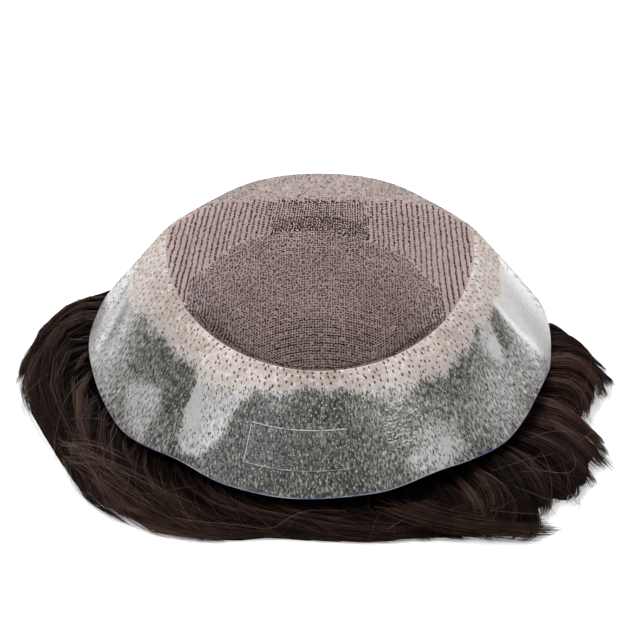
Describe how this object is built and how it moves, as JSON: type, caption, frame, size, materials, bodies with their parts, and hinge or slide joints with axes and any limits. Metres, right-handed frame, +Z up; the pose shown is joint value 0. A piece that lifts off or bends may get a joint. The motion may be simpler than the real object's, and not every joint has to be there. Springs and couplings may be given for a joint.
{
  "type": "toupee hairpiece",
  "caption": "Toupee hairpiece lying scalp side up: a shallow net bowl with a cream join band and a clear skin skirt, resting on its own short dark hair.",
  "frame": {"origin": "middle of the piece's box, on the surface that it lies on", "axes": "+Z up with the scalp side up, +Y towards the front hairline, +X to the right seen from the back of the head"},
  "size_m": [0.2228, 0.2102, 0.051],
  "materials": {
    "front_lace": "fine pale lace, matte",
    "top_net": "pinkish grey net with rows of dark hair knots, matte",
    "crown_net": "finer mauve grey net, densely knotted, matte",
    "join_band": "cream coated net edge, satin",
    "clear_skin": "clear poly skin with hairs injected through it, glossy",
    "label_patch": "thin clear patch, glossy, bare",
    "hair": "dark brown hair with a soft shine"
  },
  "bodies": {
    "root": {"front_lace": "front_lace", "top_net": "top_net", "crown_net": "crown_net", "poly_join_band": "join_band", "poly_skirt": "clear_skin", "clear_label_patch": "label_patch", "under_hair": "hair", "left_hair": "hair", "back_hair": "hair", "right_hair": "hair", "front_hair": "hair"}
  },
  "joints": []
}
